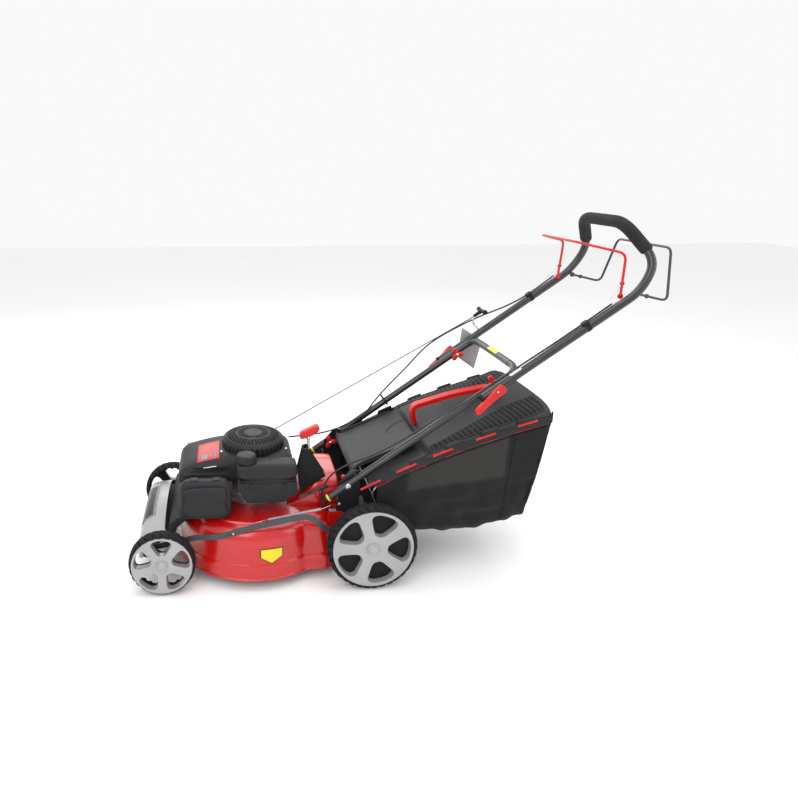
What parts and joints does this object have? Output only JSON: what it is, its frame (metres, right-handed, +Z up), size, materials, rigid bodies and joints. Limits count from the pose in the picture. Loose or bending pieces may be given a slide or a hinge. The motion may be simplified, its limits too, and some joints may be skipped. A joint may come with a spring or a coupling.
{
  "type": "push lawn mower",
  "caption": "Petrol walk-behind rotary mower with pressed deck, folding tubular handle, two bails, height adjuster and a rear grass bag with a hard lid.",
  "frame": {"origin": "on the ground under the middle of the machine's overall length and width", "axes": "+Z up; +X from the nose towards the handle; +Y towards the side with the starter handle"},
  "size_m": [1.6504, 0.548, 1.1268],
  "materials": {
    "deck_red": "gloss",
    "lever_red": "satin",
    "cover_black": "fine grain",
    "lid_grey": "fine grain",
    "nose_silver": "satin metallic",
    "wheel_silver": "satin metallic",
    "tyre_black": "matt",
    "cast_metal": "as cast",
    "steel": "zinc plated",
    "tube_black": "satin",
    "link_grey": "satin",
    "foam_black": "foam",
    "cable_black": "satin",
    "bag_cloth": "woven mesh"
  },
  "bodies": {
    "chassis": {"deck": "deck_red", "nose_housing": "cover_black", "nose_cover": "nose_silver", "lever_cover": "cover_black", "flap_rod": "steel", "rear_skirt": "cover_black", "bracket_left": "deck_red", "bracket_right": "deck_red", "engine_block": "cast_metal", "engine_shroud": "cover_black", "recoil_dome": "cover_black", "fuel_tank": "cover_black", "tank_skirt": "cover_black", "air_filter_base": "cover_black", "carburettor": "cast_metal", "muffler": "cast_metal", "spark_plug_boot": "cable_black", "helper_spring": "steel", "starter_rope": "cable_black", "brake_cable": "cable_black", "drive_cable": "cable_black"},
    "fuel_cap_body": {"fuel_cap": "cover_black"},
    "oil_cap_body": {"oil_cap": "cover_black"},
    "filter_cover_body": {"air_filter_cover": "cover_black"},
    "blade_assembly": {"crankshaft": "steel", "flywheel": "cast_metal", "blade": "steel", "blade_bolt": "steel"},
    "front_axle_body": {"front_axle": "link_grey"},
    "rear_axle_body": {"rear_axle": "link_grey", "drive_shaft": "steel", "gearbox": "cast_metal"},
    "link_body": {"link_bar": "link_grey"},
    "lever_body": {"height_lever": "lever_red"},
    "flap_body": {"rear_flap": "lid_grey"},
    "bag_body": {"bag_lid": "lid_grey", "bag_handle": "lever_red", "bag_frame": "steel", "bag_fabric": "bag_cloth"},
    "lower_handle_body": {"lower_handle": "tube_black"},
    "upper_handle_body": {"upper_handle": "tube_black", "grip_foam": "foam_black", "rope_guide": "steel"},
    "brake_bail_body": {"brake_bail": "lever_red"},
    "drive_bail_body": {"drive_bail": "tube_black"},
    "starter_body": {"starter_handle": "cover_black"},
    "cam_left_body": {"cam_lever_left": "lever_red"},
    "mid_knob_left_body": {"mid_knob_left": "lever_red"},
    "lower_knob_left_body": {"lower_knob_left": "lever_red"},
    "front_left_wheel_body": {"front_left_wheel": "tyre_black", "front_left_wheel_cover": "wheel_silver"},
    "rear_left_wheel_body": {"rear_left_wheel": "tyre_black", "rear_left_wheel_cover": "wheel_silver"},
    "cam_right_body": {"cam_lever_right": "lever_red"},
    "mid_knob_right_body": {"mid_knob_right": "lever_red"},
    "lower_knob_right_body": {"lower_knob_right": "lever_red"},
    "front_right_wheel_body": {"front_right_wheel": "tyre_black", "front_right_wheel_cover": "wheel_silver"},
    "rear_right_wheel_body": {"rear_right_wheel": "tyre_black", "rear_right_wheel_cover": "wheel_silver"}
  },
  "joints": [
    {"name": "blade_spin", "type": "hinge", "parent": "chassis", "child": "blade_assembly", "pos_m": [-0.43567, 0, 0.066], "axis": [0, 0, 1], "continuous": true},
    {"name": "height_adjust", "type": "hinge", "parent": "chassis", "child": "rear_axle_body", "pos_m": [-0.13367, 0, 0.152], "axis": [0, 1, 0], "range_deg": [0, 45], "deforming": ["helper_spring"]},
    {"name": "front_axle_swing", "type": "hinge", "parent": "chassis", "child": "front_axle_body", "pos_m": [-0.77368, 0, 0.114], "axis": [0, 1, 0], "range_deg": [0, 45], "deforming": ["helper_spring"]},
    {"name": "link_bar_pivot", "type": "hinge", "parent": "rear_axle_body", "child": "link_body", "pos_m": [-0.13367, 0, 0.174], "axis": [0, 1, 0], "range_deg": [-45, 0], "deforming": ["helper_spring"]},
    {"name": "height_lever_swing", "type": "hinge", "parent": "chassis", "child": "lever_body", "pos_m": [-0.26267, -0.092, 0.307], "axis": [0, 1, 0], "range_deg": [0, 27]},
    {"name": "front_left_wheel_spin", "type": "hinge", "parent": "front_axle_body", "child": "front_left_wheel_body", "pos_m": [-0.72367, 0, 0.1015], "axis": [0, 1, 0], "continuous": true},
    {"name": "front_right_wheel_spin", "type": "hinge", "parent": "front_axle_body", "child": "front_right_wheel_body", "pos_m": [-0.72367, 0, 0.1015], "axis": [0, 1, 0], "continuous": true},
    {"name": "rear_left_wheel_spin", "type": "hinge", "parent": "rear_axle_body", "child": "rear_left_wheel_body", "pos_m": [-0.08367, 0, 0.1395], "axis": [0, 1, 0], "continuous": true},
    {"name": "rear_right_wheel_spin", "type": "hinge", "parent": "rear_axle_body", "child": "rear_right_wheel_body", "pos_m": [-0.08367, 0, 0.1395], "axis": [0, 1, 0], "continuous": true},
    {"name": "fuel_cap_turn", "type": "hinge", "parent": "chassis", "child": "fuel_cap_body", "pos_m": [-0.46368, -0.146, 0.38], "axis": [0, 0, 1], "range_deg": [0, 180]},
    {"name": "oil_cap_turn", "type": "hinge", "parent": "chassis", "child": "oil_cap_body", "pos_m": [-0.49567, 0.134, 0.284], "axis": [0, 0, 1], "range_deg": [0, 180]},
    {"name": "air_filter_cover_pull", "type": "slide", "parent": "chassis", "child": "filter_cover_body", "axis": [0, -1, 0], "range_m": [0, 0.06]},
    {"name": "rear_flap_lift", "type": "hinge", "parent": "chassis", "child": "flap_body", "pos_m": [-0.12568, 0, 0.337], "axis": [0, -1, 0], "range_deg": [0, 40]},
    {"name": "bag_lift_off", "type": "slide", "parent": "chassis", "child": "bag_body", "axis": [0.9205, 0, 0.3907], "range_m": [0, 0.3]},
    {"name": "lower_handle_fold", "type": "hinge", "parent": "chassis", "child": "lower_handle_body", "pos_m": [-0.15068, 0, 0.308], "axis": [0, -1, 0], "range_deg": [0, 100], "deforming": ["starter_rope", "brake_cable", "drive_cable"]},
    {"name": "upper_handle_fold", "type": "hinge", "parent": "lower_handle_body", "child": "upper_handle_body", "pos_m": [0.29465, 0, 0.62565], "axis": [0, 1, 0], "range_deg": [-125, 0], "deforming": ["starter_rope", "brake_cable", "drive_cable"]},
    {"name": "brake_bail_squeeze", "type": "hinge", "parent": "upper_handle_body", "child": "brake_bail_body", "pos_m": [0.64907, 0, 0.89684], "axis": [0, 1, 0], "range_deg": [0, 26], "stiffness_Nm_per_rad": 0.3, "springref_deg": -17.19, "deforming": ["brake_cable"]},
    {"name": "drive_bail_squeeze", "type": "hinge", "parent": "upper_handle_body", "child": "drive_bail_body", "pos_m": [0.70108, 0, 0.90284], "axis": [0, -1, 0], "range_deg": [0, 34], "stiffness_Nm_per_rad": 0.3, "springref_deg": -17.19, "deforming": ["drive_cable"]},
    {"name": "starter_pull", "type": "slide", "parent": "upper_handle_body", "child": "starter_body", "axis": [0.8141, 0, 0.5807], "range_m": [0, 0.25], "deforming": ["starter_rope"]},
    {"name": "cam_lever_left_swing", "type": "hinge", "parent": "upper_handle_body", "child": "cam_left_body", "pos_m": [0.29465, -0.223, 0.62565], "axis": [-0.7071, 0, 0.7071], "range_deg": [0, 100]},
    {"name": "mid_knob_left_turn", "type": "hinge", "parent": "lower_handle_body", "child": "mid_knob_left_body", "pos_m": [0.29465, 0, 0.62565], "axis": [0, 1, 0], "continuous": true},
    {"name": "lower_knob_left_turn", "type": "hinge", "parent": "chassis", "child": "lower_knob_left_body", "pos_m": [-0.15068, 0, 0.308], "axis": [0, 1, 0], "continuous": true},
    {"name": "cam_lever_right_swing", "type": "hinge", "parent": "upper_handle_body", "child": "cam_right_body", "pos_m": [0.29465, 0.223, 0.62565], "axis": [0.7071, 0, -0.7071], "range_deg": [0, 100]},
    {"name": "mid_knob_right_turn", "type": "hinge", "parent": "lower_handle_body", "child": "mid_knob_right_body", "pos_m": [0.29465, 0, 0.62565], "axis": [0, 1, 0], "continuous": true},
    {"name": "lower_knob_right_turn", "type": "hinge", "parent": "chassis", "child": "lower_knob_right_body", "pos_m": [-0.15068, 0, 0.308], "axis": [0, 1, 0], "continuous": true}
  ],
  "couplings": [
    {"joint": "front_axle_swing", "follows": "height_adjust", "ratio": 1},
    {"joint": "link_bar_pivot", "follows": "height_adjust", "ratio": -1},
    {"joint": "height_lever_swing", "follows": "height_adjust", "ratio": 0.6}
  ]
}
